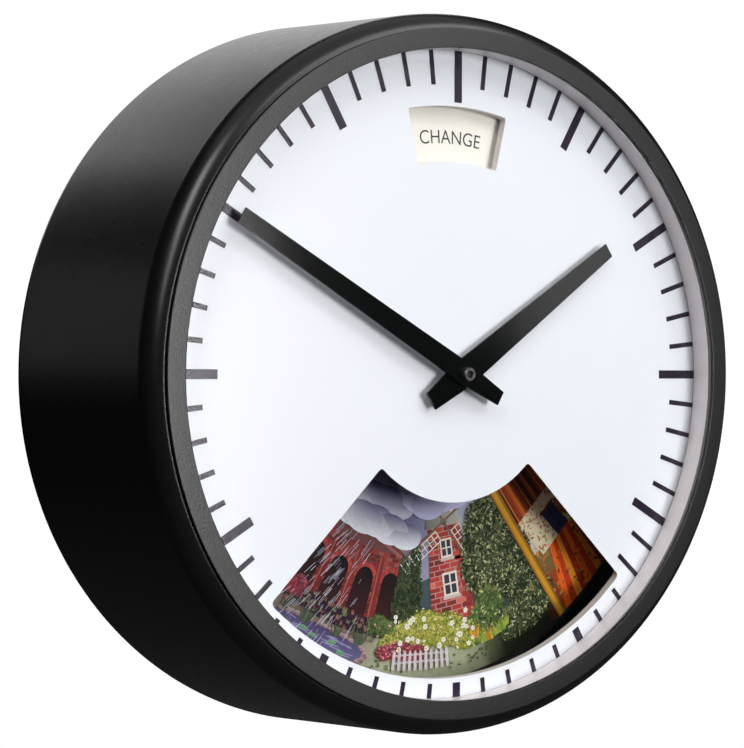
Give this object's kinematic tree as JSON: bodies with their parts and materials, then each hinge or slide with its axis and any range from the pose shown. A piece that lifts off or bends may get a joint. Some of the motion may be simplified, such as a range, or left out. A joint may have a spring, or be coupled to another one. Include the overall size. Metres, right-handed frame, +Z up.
{
  "type": "wall clock",
  "caption": "Deep round wall clock with two hands, bar marks, a word window and a fan-shaped window onto a turning weather disc.",
  "frame": {"origin": "on the wall plane, at the middle of the back cover's outer face, which is on the axis of the hands", "axes": "+Z up, +Y from the front towards the wall, along the axis of the hands, +X to the right of someone reading the clock"},
  "size_m": [0.34, 0.1176, 0.34],
  "materials": {
    "case_black": "satin black powder coat",
    "bezel_black": "fine textured black powder coat",
    "gasket_rubber": "matte",
    "clear_glass": "clear, polished",
    "reveal_white": "glossy white with a warm tint",
    "marks_ink": "printed, near black",
    "dial_white": "satin white",
    "steel": "zinc plated",
    "brass": "machined",
    "scene_print": "printed weather scenes",
    "word_print": "cream with thin black words",
    "black_plastic": "moulded, matte",
    "nylon": "natural nylon",
    "copper_wire": "enamelled copper winding",
    "cell_label": "plain printed sleeve",
    "hand_black": "matte black",
    "nut_metal": "satin",
    "board_green": "solder mask",
    "grey_cable": "grey cable sheath",
    "red_cable": "red cable sheath",
    "cover_black": "fine grained black",
    "dark_steel": "blackened steel",
    "button_grey": "moulded, matte"
  },
  "bodies": {
    "case": {"case_drum": "case_black", "cover_ledge": "case_black", "bezel": "bezel_black", "glass_gasket": "gasket_rubber", "glass": "clear_glass", "reveal_ring": "reveal_white", "minute_marks": "marks_ink", "dial": "dial_white", "dial_post_1": "steel", "dial_post_2": "steel", "dial_post_3": "steel", "chassis_plate": "steel", "chassis_screw_1": "steel", "chassis_screw_2": "steel", "chassis_screw_3": "steel", "bearing_tube": "brass", "hub_ring": "steel", "drive_motor": "steel", "motor_screw_1": "steel", "motor_screw_2": "steel", "movement_front": "black_plastic", "movement_back": "black_plastic", "coil": "copper_wire", "movement_cell": "cell_label", "battery_box": "black_plastic", "battery_cell_1": "cell_label", "battery_cell_2": "cell_label", "battery_cell_3": "cell_label", "circuit_board": "board_green", "processor": "black_plastic", "pressure_sensor": "steel", "tact_switch": "black_plastic", "motor_cable": "grey_cable", "battery_cable": "red_cable", "back_cover": "cover_black", "cover_screw_1": "dark_steel", "cover_screw_2": "dark_steel", "cover_screw_3": "dark_steel", "cover_screw_4": "dark_steel", "hanger_plate": "steel"},
    "weather": {"weather_disc": "scene_print", "word_plate": "word_print", "disc_hub": "black_plastic", "disc_gear": "nylon", "word_ring": "black_plastic"},
    "drive": {"motor_shaft": "steel", "drive_pinion": "nylon"},
    "minute": {"centre_wheel": "brass", "minute_hand": "hand_black", "hand_nut": "nut_metal"},
    "hour": {"hour_wheel": "nylon", "hour_hand": "hand_black"},
    "intermediate": {"intermediate_wheel": "nylon", "set_knob": "black_plastic"},
    "button": {"set_button": "button_grey"},
    "door": {"access_door": "cover_black", "hinge_pin": "steel"},
    "latch": {"door_latch": "button_grey"}
  },
  "joints": [
    {"name": "weather_turn", "type": "hinge", "parent": "case", "child": "weather", "pos_m": [0, 0, 0], "axis": [0, 1, 0], "range_deg": [-56, 56]},
    {"name": "pinion_turn", "type": "hinge", "parent": "case", "child": "drive", "pos_m": [0.04375, 0, 0], "axis": [0, 1, 0], "range_deg": [-226, 226]},
    {"name": "minute_turn", "type": "hinge", "parent": "case", "child": "minute", "pos_m": [0, 0, 0], "axis": [0, 1, 0], "continuous": true},
    {"name": "hour_turn", "type": "hinge", "parent": "case", "child": "hour", "pos_m": [0, 0, 0], "axis": [0, 1, 0], "continuous": true},
    {"name": "set_knob_turn", "type": "hinge", "parent": "case", "child": "intermediate", "pos_m": [0, 0, -0.012], "axis": [0, 1, 0], "continuous": true},
    {"name": "button_press", "type": "slide", "parent": "case", "child": "button", "axis": [0, -1, 0], "range_m": [0, 0.0012], "stiffness_N_per_m": 300, "springref_m": -0.0006},
    {"name": "door_hinge", "type": "hinge", "parent": "case", "child": "door", "pos_m": [0, -0.0015, -0.008], "axis": [1, 0, 0], "range_deg": [0, 100]},
    {"name": "latch_slide", "type": "slide", "parent": "door", "child": "latch", "axis": [0, 0, -1], "range_m": [0, 0.003]}
  ],
  "couplings": [
    {"joint": "pinion_turn", "follows": "weather_turn", "ratio": -4},
    {"joint": "hour_turn", "follows": "minute_turn", "ratio": 0.083333},
    {"joint": "set_knob_turn", "follows": "minute_turn", "ratio": -0.33333}
  ]
}
